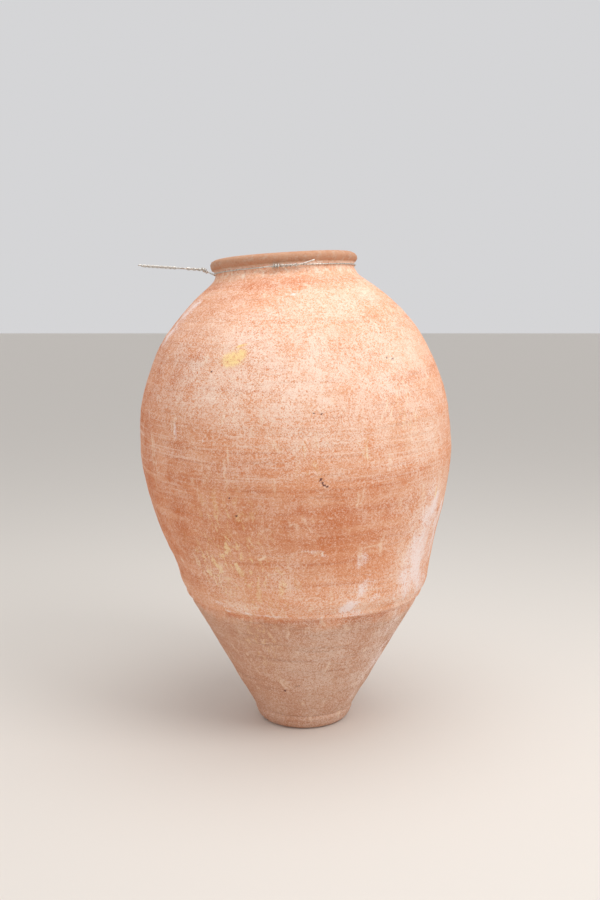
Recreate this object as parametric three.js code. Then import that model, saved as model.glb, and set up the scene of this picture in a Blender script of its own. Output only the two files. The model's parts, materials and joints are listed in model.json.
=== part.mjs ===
// A tall earthenware storage jar with a narrow foot, thrown in sections, and the wire tie round its neck.
// Millimetres, +Z up. The origin is the centre of the foot's underside, on the floor.
// -Y is the front. The jar stands straight up to its ridge and leans to its right (-X) above it.
import * as THREE from 'three';

// ---------------------------------------------------------------- driving dimensions
const JAR_HEIGHT = 1028;        // along the jar's own centre line
const LEAN = THREE.MathUtils.degToRad(3.9);
const LEAN_START = 322;         // the centre line bends between these two heights
const LEAN_END = 422;

const FOOT_REST_RADIUS = 86;
const FOOT_RADIUS = 109;
const FOOT_HEIGHT = 33;
const HEEL_CORNER_RADIUS = 105;  // steers the heel's curve
const RIDGE_HEIGHT = 298;       // crisp edge where the cone ends
const RIDGE_RADIUS = 260.5;
const BAND_TOP_HEIGHT = 340;    // rounded band between the ridge and the belly
const BAND_TOP_RADIUS = 275.5;
const BAND_BULGE_RADIUS = 274.5; // steers the band's curve
const BAND_BULGE_HEIGHT = 323;
const LOW_JOIN_HEIGHT = 440;
const MID_JOIN_HEIGHT = 598;
const UPPER_JOIN_HEIGHT = 722;
const COLLAR_JOIN_HEIGHT = 862;
const NECK_JOIN_HEIGHT = 978;
const NECK_JOIN_RADIUS = 160.5;

const CONE_WALL = 26;
const CONE_FOOT_WALL = 30;      // where the cone stands on the foot disc
const BELLY_WALL = 21;
const GAP = 0.45;               // clearance left in every join

const GROOVE_RADIUS = 150.5;    // narrowest part of the neck
const GROOVE_STEER_RADIUS = 148.5; // steers the curve from the neck join into the groove
const GROOVE_STEER_HEIGHT = 990;
const LIP_OUTER_RADIUS = 159.5;
const LIP_INNER_RADIUS = 130;
const LIP_HALF_HEIGHT = 13;

const WIRE_DIAMETER = 3;
const STRAND_SPACING = 3.7;     // between the centres of two strands that lie together
const TIE_PLAY = 1.5;           // between the wire and the groove
const TIE_RADIUS = GROOVE_RADIUS + WIRE_DIAMETER / 2 + TIE_PLAY;
const SPLICE_STAND_OFF = 3.6;   // the splice lies this much further out
const TIE_HEIGHT = 999;         // the wire lies just under the lip
const PIGTAIL_LENGTH = 166;
const PIGTAIL_BEND = 25;        // it climbs steeply this far from the neck, then gently
const PIGTAIL_CLIMB = THREE.MathUtils.degToRad(31);
const PIGTAIL_RISE = THREE.MathUtils.degToRad(7.5);

const RING_SEGMENTS = 48;
const WIRE_SIDES = 6;
const STATIONS_PER_TURN = 8;    // where strands wind round each other
const BAND_STEPS = 8;
const BELLY_STEPS = 160;
const HEEL_STEPS = 6;
const GROOVE_STEPS = 4;
const LIP_STEPS = 9;

// ---------------------------------------------------------------- materials
const FOOT_CLAY = 0xb4886c;
const CONE_CLAY = 0xb98a6c;
const LOW_CLAY = 0xdba27c;
const MIDDLE_CLAY = 0xe6ab84;
const UPPER_CLAY = 0xeeb48f;
const SHOULDER_CLAY = 0xf6c4a0;
const RIM_CLAY = 0xd49a7c;
const SHORT_WIRE_STEEL = 0x8d8a84;
const LONG_WIRE_STEEL = 0x9a968f;

const material = (color, roughness, metalness) => new THREE.MeshStandardMaterial({ color, roughness, metalness });
const clay = (colour) => material(colour, 0.9, 0);
const galvanised = (colour) => material(colour, 0.45, 0.9);

// ---------------------------------------------------------------- the outside of the wall
// [radius, height] of the belly and shoulder, from the top of the band to the neck join
const BELLY_OUTLINE = [
  [BAND_TOP_RADIUS, BAND_TOP_HEIGHT],
  [286.5, 386],
  [318, 486],
  [336, 576],
  [338, 646],
  [330.5, 722],
  [311, 788],
  [275.5, 862],
  [220, 928],
  [NECK_JOIN_RADIUS, NECK_JOIN_HEIGHT],
];

const point = ([radius, height]) => new THREE.Vector2(radius, height);

function heelCurve() {
  const corner = new THREE.Vector2(HEEL_CORNER_RADIUS, 0);
  const top = new THREE.Vector2(FOOT_RADIUS, FOOT_HEIGHT);
  return new THREE.QuadraticBezierCurve(new THREE.Vector2(FOOT_REST_RADIUS, 0), corner, top);
}

function bandCurve() {
  const start = new THREE.Vector2(RIDGE_RADIUS, RIDGE_HEIGHT);
  const bulge = new THREE.Vector2(BAND_BULGE_RADIUS, BAND_BULGE_HEIGHT);
  return new THREE.QuadraticBezierCurve(start, bulge, new THREE.Vector2(BAND_TOP_RADIUS, BAND_TOP_HEIGHT));
}

function wallOutline() {
  const band = bandCurve().getPoints(BAND_STEPS);
  const belly = new THREE.SplineCurve(BELLY_OUTLINE.map(point)).getPoints(BELLY_STEPS);
  return [new THREE.Vector2(FOOT_RADIUS, FOOT_HEIGHT), ...band, ...belly.slice(1)];
}

const OUTLINE = wallOutline();

function outerRadius(height) {
  const next = OUTLINE.findIndex((p, i) => i > 0 && p.y >= height);
  const b = OUTLINE[next < 0 ? OUTLINE.length - 1 : next];
  const a = OUTLINE[(next < 0 ? OUTLINE.length - 1 : next) - 1];
  return a.x + (b.x - a.x) * (height - a.y) / (b.y - a.y);
}

// The point at a depth into the wall, square to its outside at a height
function wallPoint(height, depth, lift = 0) {
  const slope = outerRadius(height + 1) - outerRadius(height - 1);
  const inward = new THREE.Vector2(-2, slope).normalize().multiplyScalar(depth);
  return new THREE.Vector2(outerRadius(height) + inward.x, height + inward.y + lift);
}

// ---------------------------------------------------------------- the lean
// Moves a point of the straight jar to its place on the leaning one
function leaned(x, y, z) {
  const length = LEAN_END - LEAN_START;
  const bendRadius = length / LEAN;
  const angle = LEAN * THREE.MathUtils.clamp((z - LEAN_START) / length, 0, 1);
  const past = Math.max(z - LEAN_END, 0);
  const centreX = -bendRadius * (1 - Math.cos(angle)) - past * Math.sin(angle);
  const centreZ = Math.min(z, LEAN_START) + bendRadius * Math.sin(angle) + past * Math.cos(angle);
  return [centreX + x * Math.cos(angle), y, centreZ + x * Math.sin(angle)];
}

function bend(geometry) {
  const position = geometry.attributes.position;
  for (let i = 0; i < position.count; i += 1) {
    position.setXYZ(i, ...leaned(position.getX(i), position.getY(i), position.getZ(i)));
  }
  return geometry;
}

// ---------------------------------------------------------------- thrown pieces
// A profile of [radius, height] points, counter-clockwise with the radius to the right
function thrown(name, profile, look) {
  const geometry = new THREE.LatheGeometry(profile, RING_SEGMENTS);
  geometry.rotateX(Math.PI / 2);
  const mesh = new THREE.Mesh(bend(geometry), look);
  mesh.name = name;
  return mesh;
}

function heightsBetween(bottom, top, steps) {
  return Array.from({ length: steps + 1 }, (_, i) => bottom + (top - bottom) * i / steps);
}

// One section of wall between two joins, which are square to the wall
function wallSection(name, bottom, top, steps, wall, look) {
  const heights = heightsBetween(bottom, top, steps);
  const outer = heights.map((z) => wallPoint(z, 0, z === bottom ? GAP : 0));
  const inner = heights.map((z) => wallPoint(z, wall, z === bottom ? GAP : 0)).reverse();
  return thrown(name, [...outer, ...inner, outer[0].clone()], look);
}

// The cone stands flat on the foot disc
function lowerCone() {
  const heights = heightsBetween(FOOT_HEIGHT, RIDGE_HEIGHT, 5);
  const outer = heights.map((z) => wallPoint(z, 0, z === FOOT_HEIGHT ? GAP : 0));
  const inner = heights.slice(1).map((z) => wallPoint(z, CONE_WALL)).reverse();
  const innerFoot = new THREE.Vector2(FOOT_RADIUS - CONE_FOOT_WALL, FOOT_HEIGHT + GAP);
  return thrown('lower_cone', [...outer, ...inner, innerFoot, outer[0].clone()], clay(CONE_CLAY));
}

function footDisc() {
  const heel = heelCurve().getPoints(HEEL_STEPS);
  const centre = new THREE.Vector2(0, 0);
  return thrown('foot_disc', [centre, ...heel, new THREE.Vector2(0, FOOT_HEIGHT)], clay(FOOT_CLAY));
}

// The neck groove and the rolled lip, from the neck join upwards and back down the inside
function rim() {
  const start = wallPoint(NECK_JOIN_HEIGHT, 0, GAP);
  const lipCentreRadius = (LIP_OUTER_RADIUS + LIP_INNER_RADIUS) / 2;
  const lipHalfWidth = (LIP_OUTER_RADIUS - LIP_INNER_RADIUS) / 2;
  const lipHeight = JAR_HEIGHT - LIP_HALF_HEIGHT;
  const under = Math.acos((GROOVE_RADIUS - lipCentreRadius) / lipHalfWidth);
  const lip = new THREE.EllipseCurve(lipCentreRadius, lipHeight, lipHalfWidth, LIP_HALF_HEIGHT, -under, Math.PI)
    .getPoints(LIP_STEPS);
  const steer = new THREE.Vector2(GROOVE_STEER_RADIUS, GROOVE_STEER_HEIGHT);
  const groove = new THREE.QuadraticBezierCurve(start, steer, lip[0]).getPoints(GROOVE_STEPS);
  const innerJoin = wallPoint(NECK_JOIN_HEIGHT, BELLY_WALL, GAP);
  const profile = [...groove, ...lip.slice(1), innerJoin, start.clone()];
  return thrown('rim', profile, clay(RIM_CLAY));
}

// ---------------------------------------------------------------- the wire tie
// A wire runs through its own points, one ring of vertices at each
function wire(name, points, look) {
  const path = new THREE.CatmullRomCurve3(points.map((p) => new THREE.Vector3(...leaned(p.x, p.y, p.z))));
  path.getPointAt = path.getPoint;
  path.getTangentAt = path.getTangent;
  const section = new THREE.Shape(new THREE.EllipseCurve(0, 0, WIRE_DIAMETER / 2, WIRE_DIAMETER / 2)
    .getPoints(WIRE_SIDES).slice(1));
  const geometry = new THREE.ExtrudeGeometry(section, { extrudePath: path, steps: points.length - 1 });
  const mesh = new THREE.Mesh(geometry, look);
  mesh.name = name;
  return mesh;
}

// Angles round the neck, in degrees from +X; 270 is the front
const PIGTAIL_ANGLE = 180;
const SPLICE_START = 262;       // the long wire's end, wrapped round the short one
const WRAPS_END = 267.5;
const TWIST_END = 281;
const TAIL_END = 293;
const WRAPS = 3;
const TWISTS = 2;
const STAND_OFF_FADE = 16;      // degrees over which the tie leaves its circle
const STAND_OFF_REACHED = 3;    // degrees before the splice

const smooth = (from, to, value) => THREE.MathUtils.smoothstep(value, from, to);
const share = (from, to, value) => THREE.MathUtils.clamp((value - from) / (to - from), 0, 1);

function onNeck(degrees, outward, up) {
  const angle = THREE.MathUtils.degToRad(degrees);
  const radius = TIE_RADIUS + outward;
  return new THREE.Vector3(radius * Math.cos(angle), radius * Math.sin(angle), TIE_HEIGHT + up);
}

// How far the tie stands off its circle, to leave room for the splice
function standOff(degrees) {
  const arriving = smooth(SPLICE_START - STAND_OFF_FADE, SPLICE_START - STAND_OFF_REACHED, degrees);
  const leaving = smooth(TWIST_END, TWIST_END + STAND_OFF_FADE, degrees);
  return SPLICE_STAND_OFF * arriving * (1 - leaving);
}

// Place of a strand in the splice: side 0 is the short wire, side 1 the long one.
// The long wire wraps round the short one, and then the two twist round each other.
function inSplice(degrees, side) {
  const wrapTurns = WRAPS * share(SPLICE_START, WRAPS_END, degrees);
  const twistTurns = TWISTS * share(WRAPS_END, TWIST_END, degrees);
  const leaving = smooth(WRAPS_END - 0.6, WRAPS_END + 1.6, degrees);
  const part = side === 0 ? 0.5 * leaving : 1 - 0.5 * leaving;
  const angle = 2 * Math.PI * (wrapTurns + twistTurns) + side * Math.PI;
  const reach = STRAND_SPACING * part;
  return onNeck(degrees, standOff(degrees) + reach * Math.cos(angle), reach * Math.sin(angle));
}

// Stations along the pigtail, outwards from the neck, as fractions of its length
const KNOT_START = 0.1;
const KNOT_END = 0.172;
const EYELET_START = 0.38;
const EYELET_END = 0.5;
const KNOT_WRAPS = 3;
const NEAR_TURNS = 1.5;         // between the knot and the eyelet
const FAR_TURNS = 4.5;          // between the eyelet and the tip
const EYELET_OPENING = 1.6;
const KNOT_FADE = 0.03;
const LONG_WIRE_END = 0.96;     // it stops short of the tip

// Place of a strand in the pigtail: side 0 is the short wire, side 1 the long one
function inPigtail(along, side) {
  const out = along * PIGTAIL_LENGTH;
  const turns = KNOT_WRAPS * share(KNOT_START, KNOT_END, along)
    + NEAR_TURNS * share(KNOT_END, EYELET_START, along)
    + FAR_TURNS * share(EYELET_END, 1, along);
  const past = smooth(KNOT_END, KNOT_END + KNOT_FADE, along);
  const knot = smooth(KNOT_START - KNOT_FADE, KNOT_START, along) * (1 - past);
  const middle = (EYELET_START + EYELET_END) / 2;
  const eyelet = smooth(EYELET_START, middle, along) * (1 - smooth(middle, EYELET_END, along));
  const part = side === 0 ? 0.5 + 0.5 * knot : 0.5 - 0.5 * knot;
  const reach = STRAND_SPACING * part + EYELET_OPENING * eyelet;
  const angle = 2 * Math.PI * turns + (1 - side) * Math.PI;
  const steep = Math.min(out, PIGTAIL_BEND);
  const gentle = out - steep;
  const radius = TIE_RADIUS + steep * Math.cos(PIGTAIL_CLIMB) + gentle * Math.cos(PIGTAIL_RISE);
  const climb = steep * Math.sin(PIGTAIL_CLIMB) + gentle * Math.sin(PIGTAIL_RISE);
  return new THREE.Vector3(-radius, reach * Math.cos(angle), TIE_HEIGHT + climb + reach * Math.sin(angle));
}

function stations(from, to, count) {
  return Array.from({ length: count }, (_, i) => from + (to - from) * i / (count - 1));
}

function pigtailStations(wrapsRound, end) {
  const knot = stations(KNOT_START, KNOT_END, wrapsRound ? STATIONS_PER_TURN * KNOT_WRAPS + 1 : 3);
  const plain = stations(KNOT_END + 0.02, EYELET_START, 12);
  const eyelet = stations(EYELET_START + 0.03, EYELET_END - 0.03, 3);
  return [0.065, ...knot, ...plain, ...eyelet, ...stations(EYELET_END, end, 34)];
}

// From the pigtail's tip, round the front of the neck, through the splice to the free tail
function shortWire() {
  const pigtail = pigtailStations(true, 1).map((along) => inPigtail(along, 0)).reverse();
  const approach = stations(PIGTAIL_ANGLE + 7, SPLICE_START - 4, 15).map((a) => onNeck(a, standOff(a), 0));
  const core = stations(SPLICE_START, WRAPS_END, 4).map((a) => inSplice(a, 0));
  const twist = stations(WRAPS_END + 1, TWIST_END, STATIONS_PER_TURN * TWISTS).map((a) => inSplice(a, 0));
  const tail = [
    onNeck(TWIST_END + 3.5, 5.5, 2),
    onNeck(TWIST_END + 7, 6.5, 4),
    onNeck(TAIL_END - 2, 8.5, 6.5),
    onNeck(TAIL_END, 10, 8),
  ];
  const points = [...pigtail, ...approach, ...core, ...twist, ...tail];
  return wire('neck_wire_short', points, galvanised(SHORT_WIRE_STEEL));
}

// From the pigtail's tip, round the back and the right of the neck, to its wraps round the short wire
function longWire() {
  const pigtail = pigtailStations(false, LONG_WIRE_END).map((along) => inPigtail(along, 1)).reverse();
  const back = stations(PIGTAIL_ANGLE - 7, TWIST_END + 4 - 360, 48).map((a) => onNeck(a, standOff(a + 360), 0));
  const twist = stations(TWIST_END, WRAPS_END + 1, STATIONS_PER_TURN * TWISTS).map((a) => inSplice(a, 1));
  const wraps = stations(WRAPS_END, SPLICE_START, STATIONS_PER_TURN * WRAPS + 1).map((a) => inSplice(a, 1));
  return wire('neck_wire_long', [...pigtail, ...back, ...twist, ...wraps], galvanised(LONG_WIRE_STEEL));
}

// ---------------------------------------------------------------- assembly
const jar = new THREE.Group();
jar.add(footDisc());
jar.add(lowerCone());
jar.add(wallSection('lower_belly', RIDGE_HEIGHT, LOW_JOIN_HEIGHT, 6, BELLY_WALL, clay(LOW_CLAY)));
jar.add(wallSection('middle_belly', LOW_JOIN_HEIGHT, MID_JOIN_HEIGHT, 5, BELLY_WALL, clay(MIDDLE_CLAY)));
jar.add(wallSection('upper_belly', MID_JOIN_HEIGHT, UPPER_JOIN_HEIGHT, 4, BELLY_WALL, clay(UPPER_CLAY)));
jar.add(wallSection('shoulder', UPPER_JOIN_HEIGHT, COLLAR_JOIN_HEIGHT, 5, BELLY_WALL, clay(SHOULDER_CLAY)));
jar.add(wallSection('collar', COLLAR_JOIN_HEIGHT, NECK_JOIN_HEIGHT, 5, BELLY_WALL, clay(SHOULDER_CLAY)));
jar.add(rim());

const neckTie = new THREE.Group();
neckTie.add(shortWire());
neckTie.add(longWire());

const amphora = new THREE.Group();
amphora.add(jar);
amphora.add(neckTie);

export default amphora;
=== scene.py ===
# A leaning earthenware storage jar with a wire tie, dressed over its CAD frame.
# Metres and degrees. Azimuths are counted from +X, so 270 is the front and 180 the side that it leans to.
import json
import math

import bpy
import numpy as np
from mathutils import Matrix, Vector


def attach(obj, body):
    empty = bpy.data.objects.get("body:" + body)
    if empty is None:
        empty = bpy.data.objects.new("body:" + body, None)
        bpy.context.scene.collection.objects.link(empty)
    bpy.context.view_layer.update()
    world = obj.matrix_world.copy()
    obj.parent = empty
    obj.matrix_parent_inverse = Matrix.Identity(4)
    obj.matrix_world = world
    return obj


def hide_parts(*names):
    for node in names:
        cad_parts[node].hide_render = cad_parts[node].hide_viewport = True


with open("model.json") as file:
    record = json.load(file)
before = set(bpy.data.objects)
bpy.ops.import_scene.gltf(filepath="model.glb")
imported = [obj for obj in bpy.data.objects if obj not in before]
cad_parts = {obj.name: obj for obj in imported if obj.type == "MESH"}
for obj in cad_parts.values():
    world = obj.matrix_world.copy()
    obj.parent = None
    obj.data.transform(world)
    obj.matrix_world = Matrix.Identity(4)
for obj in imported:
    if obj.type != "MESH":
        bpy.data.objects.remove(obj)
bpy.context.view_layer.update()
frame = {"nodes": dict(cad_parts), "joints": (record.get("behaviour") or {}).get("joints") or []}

# ---------------------------------------------------------------- what the frame says
TIE = frame["joints"][0]
LEAN = math.asin(-TIE["axis"][0])
LEAN_START = 0.322      # the centre line bends between these two heights
LEAN_END = 0.422
CLAY_NODES = ["foot_disc", "lower_cone", "lower_belly", "middle_belly",
              "upper_belly", "shoulder", "collar", "rim"]

# the outside is smooth within each of these, and turns a corner between them
SMOOTH_STRETCHES = [CLAY_NODES[:1], CLAY_NODES[1:2], CLAY_NODES[2:]]

# ---------------------------------------------------------------- fineness of the skins
AROUND = 600            # points round each ring
RING_STEP = 0.0027      # between the rings of the outside
INSIDE_STEP = 0.006
SHARP_TURN = 45         # an outline that turns more than this has come to a join


# ================================================================ straight and leaning jar
# The jar is worked out as if it stood straight: a straight point is [x, y, height along the centre line].
def centre_line(height):
    bend = (LEAN_END - LEAN_START) / LEAN
    angle = LEAN * np.clip((height - LEAN_START) / (LEAN_END - LEAN_START), 0, 1)
    past = np.maximum(height - LEAN_END, 0)
    x = -bend * (1 - np.cos(angle)) - past * np.sin(angle)
    z = np.minimum(height, LEAN_START) + bend * np.sin(angle) + past * np.cos(angle)
    return x, z, angle


def lean(straight):
    x, z, angle = centre_line(straight[:, 2])
    side = straight[:, 0]
    return np.stack([x + side * np.cos(angle), straight[:, 1], z + side * np.sin(angle)], 1)


def straighten(points):
    low = np.zeros(len(points))
    high = np.full(len(points), 1.2)
    for _ in range(40):
        middle = (low + high) / 2
        x, z, angle = centre_line(middle)
        above = (points[:, 2] - z) * np.cos(angle) - (points[:, 0] - x) * np.sin(angle) > 0
        low = np.where(above, middle, low)
        high = np.where(above, high, middle)
    x, z, angle = centre_line(low)
    side = (points[:, 0] - x) * np.cos(angle) + (points[:, 2] - z) * np.sin(angle)
    return np.stack([side, points[:, 1], low], 1)


# ================================================================ the wall's outline, read from the frame
def outline(node, below):
    """The [radius, height] loop that a clay node is turned from; it starts nearest the loop below."""
    mesh = frame["nodes"][node].data
    points = np.zeros(len(mesh.vertices) * 3)
    mesh.vertices.foreach_get("co", points)
    straight = straighten(points.reshape(-1, 3))
    radius = np.hypot(straight[:, 0], straight[:, 1])
    on_meridian = (np.abs(straight[:, 1]) < 2e-5) & (straight[:, 0] > 0.001)
    keys = [(round(r, 4), round(h, 4)) for r, h in zip(radius, straight[:, 2])]
    links = {}
    for edge in mesh.edges:
        a, b = edge.vertices
        if on_meridian[a] and on_meridian[b] and keys[a] != keys[b]:
            links.setdefault(keys[a], set()).add(keys[b])
            links.setdefault(keys[b], set()).add(keys[a])
    start = min(links, key=lambda k: math.dist(k, below))
    loop = [start, max(links[start], key=lambda k: k[1])]
    while True:
        onward = [k for k in links[loop[-1]] if k not in loop]
        if not onward:
            return np.array(loop)
        loop.append(onward[0])


def turn_at(loop, i):
    a = loop[i] - loop[i - 1]
    b = loop[i + 1] - loop[i]
    return math.degrees(abs(math.atan2(a[0] * b[1] - a[1] * b[0], a @ b)))


def split_outline(loop):
    """The run along the outside, and what is left: the seat, the inside and the other seat."""
    last = next(i for i in range(1, len(loop)) if i == len(loop) - 1 or turn_at(loop, i) > SHARP_TURN)
    return loop[: last + 1], loop[last + 1:]


def curve_through(points, step, before=None, after=None):
    """A smooth curve through the points, with a point about every step; before and after steer its ends."""
    first = points[0] * 2 - points[1] if before is None else before
    last = points[-1] * 2 - points[-2] if after is None else after
    guide = np.vstack([first, points, last])
    smooth = []
    for i in range(1, len(guide) - 2):
        p0, p1, p2, p3 = guide[i - 1: i + 3]
        pairs = ((p0, p1), (p1, p2), (p2, p3))
        t1, t2, t3 = np.cumsum([max(math.sqrt(np.linalg.norm(b - a)), 1e-4) for a, b in pairs])
        count = max(1, round(np.linalg.norm(p2 - p1) / step))
        for t in t1 + (t2 - t1) * np.arange(count) / count:
            a1 = p0 * (t1 - t) / t1 + p1 * t / t1
            a2 = p1 * (t2 - t) / (t2 - t1) + p2 * (t - t1) / (t2 - t1)
            a3 = p2 * (t3 - t) / (t3 - t2) + p3 * (t - t2) / (t3 - t2)
            b1 = a1 * (t2 - t) / t2 + a2 * t / t2
            b2 = a2 * (t3 - t) / (t3 - t1) + a3 * (t - t1) / (t3 - t1)
            smooth.append(b1 * (t2 - t) / (t2 - t1) + b2 * (t - t1) / (t2 - t1))
    smooth.append(points[-1])
    return np.array(smooth)


def outline_normals(run):
    along = np.gradient(run, axis=0)
    along /= np.linalg.norm(along, axis=1)[:, None]
    return np.stack([along[:, 1], -along[:, 0]], 1)


def read_outlines():
    """Every clay node's outside run and the rest of its loop, each started where the one below ends."""
    runs = {}
    below = (0, 0)
    for node in CLAY_NODES:
        outside, rest = split_outline(outline(node, below))
        if node != CLAY_NODES[0]:
            outside = np.vstack([below, outside[1:]])
        runs[node] = (outside, rest)
        below = outside[-1]
    return runs


OUTLINES = read_outlines()
SEAM_HEIGHT = OUTLINES["foot_disc"][0][-1][1]
RIDGE_HEIGHT = OUTLINES["lower_cone"][0][-1][1]
JAR_HEIGHT = OUTLINES["rim"][0][:, 1].max()


def smooth_outsides():
    """The outside runs, fine and smooth through the joins, except at the foot's seam and the ridge."""
    rough = [OUTLINES[node][0] for node in CLAY_NODES]
    runs = []
    for i, run in enumerate(rough):
        before = rough[i - 1][-2] if i > 2 else None
        after = rough[i + 1][1] if 1 < i < len(rough) - 1 else None
        runs.append(curve_through(run, RING_STEP, before, after))
    whole = np.vstack([runs[0]] + [run[1:] for run in runs[1:]])
    normals = outline_normals(whole)
    fine = {}
    start = 0
    for node, run in zip(CLAY_NODES, runs):
        end = start + len(run)
        fine[node] = (whole[start:end], normals[start:end])
        start = end - 1
    return fine


# ================================================================ seeded noise
def lattice(cell, seed):
    h = cell[..., 0] * 374761393 + cell[..., 1] * 668265263 + cell[..., 2] * 1440662683 + seed * 1274126177
    h = (h ^ (h >> 13)) & 0x7FFFFFFF
    h = (h * 1103515245 + 12345) & 0x7FFFFFFF
    h = (h ^ (h >> 16)) & 0xFFFF
    return h / 32767.5 - 1


def noise(points, size, seed):
    """Smooth noise from -1 to 1; size is the width of a lump, or one width for each axis."""
    at = points / np.asarray(size, float)
    cell = np.floor(at).astype(np.int64)
    part = at - cell
    part = part * part * (3 - 2 * part)
    total = 0
    for corner in np.ndindex(2, 2, 2):
        weight = np.prod(np.where(np.array(corner) == 1, part, 1 - part), axis=-1)
        total = total + weight * lattice(cell + np.array(corner), seed)
    return total


def rough_noise(points, size, seed, octaves=3):
    return sum(noise(points, np.asarray(size, float) / 2 ** k, seed + k) / 2 ** k for k in range(octaves))


def smoothstep(low, high, value):
    t = np.clip((value - low) / (high - low), 0, 1)
    return t * t * (3 - 2 * t)


def bump_at(value, centre, width):
    return np.exp(-((value - centre) / width) ** 2)


# ================================================================ relief of the thrown wall
GROOVE_LOW = JAR_HEIGHT - 0.047
GROOVE_HIGH = JAR_HEIGHT - 0.024
GROOVE_CALM = 0.85      # share of the wall's unevenness that the groove is spared

RING_TILT_FRONT = 0.08  # the rings of the leaning body dip towards the front
RING_TILT_SIDE = 0.055


def ring_height(straight):
    """The height that a throwing ring keeps all round: level in the cone, tilted in the belly."""
    x, y, z = straight.T
    tilted = smoothstep(RIDGE_HEIGHT, RIDGE_HEIGHT + 0.15, z) * (1 - smoothstep(0.9, 0.97, z))
    return z + tilted * (RING_TILT_SIDE * x - RING_TILT_FRONT * y)


def azimuth_of(straight):
    return np.degrees(np.arctan2(straight[:, 1], straight[:, 0])) % 360


def throwing_rings(straight):
    x, y, _ = straight.T
    rings = np.stack([x, y, ring_height(straight)], 1)
    broad = 0.0008 * noise(rings, (0.9, 0.9, 0.034), 11)
    narrow = 0.0004 * noise(rings, (0.5, 0.5, 0.012), 12)
    return broad + narrow


def lumps(straight):
    large = 0.0012 * noise(straight, 0.23, 21)
    middling = 0.0005 * noise(straight, 0.07, 22)
    small = 0.0003 * noise(straight, 0.022, 23)
    return large + middling + small


def ridge_relief(straight):
    """The ridge's worn edge stands a little proud, over a shallow undercut."""
    z = straight[:, 2]
    wear = 0.6 + 0.5 * noise(straight, 0.06, 31)
    edge = 0.0024 * bump_at(z, RIDGE_HEIGHT + 0.001, 0.0036) * wear
    under = 0.0018 * bump_at(z, RIDGE_HEIGHT - 0.010, 0.0065)
    hollow = 0.0008 * bump_at(z, RIDGE_HEIGHT + 0.010, 0.0040) * wear
    return edge - under - hollow


def foot_relief(straight):
    """A dark seam over the heel, a raised ring below it and a worn, chipped lower edge."""
    z = straight[:, 2]
    ragged = 0.7 + 0.5 * noise(straight, 0.03, 41)
    seam = 0.0016 * bump_at(z, SEAM_HEIGHT, 0.0026) * ragged
    ring = 0.0008 * bump_at(z, SEAM_HEIGHT - 0.008, 0.003)
    chips = 0.0045 * smoothstep(0.35, 0.8, noise(straight, 0.026, 42)) * (1 - smoothstep(0.006, 0.018, z))
    return ring - seam - chips


def lip_relief(straight):
    """Small chips and dents along the lip's edges."""
    z = straight[:, 2]
    on_lip = smoothstep(GROOVE_HIGH, GROOVE_HIGH + 0.006, z)
    chips = 0.0016 * smoothstep(0.45, 0.85, noise(straight, 0.017, 51))
    dents = 0.0008 * noise(straight, 0.05, 52)
    return on_lip * (dents - chips)


SOFT_RINGS = [          # raised by the potter's fingers: ring height, rise, width
    (0.598, 0.0007, 0.0050),
    (0.712, 0.0005, 0.0060),
    (0.686, 0.0005, 0.0045),
    (0.640, 0.0004, 0.0060),
    (0.330, 0.0006, 0.0035),
    (0.318, 0.0007, 0.0028),
]


def soft_rings(straight):
    rings = ring_height(straight)
    total = 0
    for k, (at, rise, width) in enumerate(SOFT_RINGS):
        broken = np.clip(0.35 + 1.1 * noise(straight, 0.13, 61 + k), 0, 1)
        wavy = at + 0.002 * noise(straight, 0.2, 75 + k)
        total = total + rise * broken * bump_at(rings, wavy, width)
    return total


def relief(straight):
    """How far the outside stands off its outline; less in the groove, where the tie turns close to it."""
    z = straight[:, 2]
    groove = smoothstep(GROOVE_LOW - 0.03, GROOVE_LOW, z)
    groove = groove * (1 - smoothstep(GROOVE_HIGH, GROOVE_HIGH + 0.008, z))
    wall = throwing_rings(straight) + lumps(straight) + soft_rings(straight)
    standing = smoothstep(0.0, 0.012, z)
    details = ridge_relief(straight) + foot_relief(straight) + lip_relief(straight)
    return standing * (wall * (1 - GROOVE_CALM * groove) + details)


def inside_relief(straight):
    x, y, z = straight.T
    spiral = np.sin(2 * math.pi * (z / 0.021 + np.arctan2(y, x) / (2 * math.pi)))
    return 0.0011 * spiral * (0.7 + 0.5 * noise(straight, 0.2, 71)) + 0.001 * noise(straight, 0.1, 72)


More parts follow.
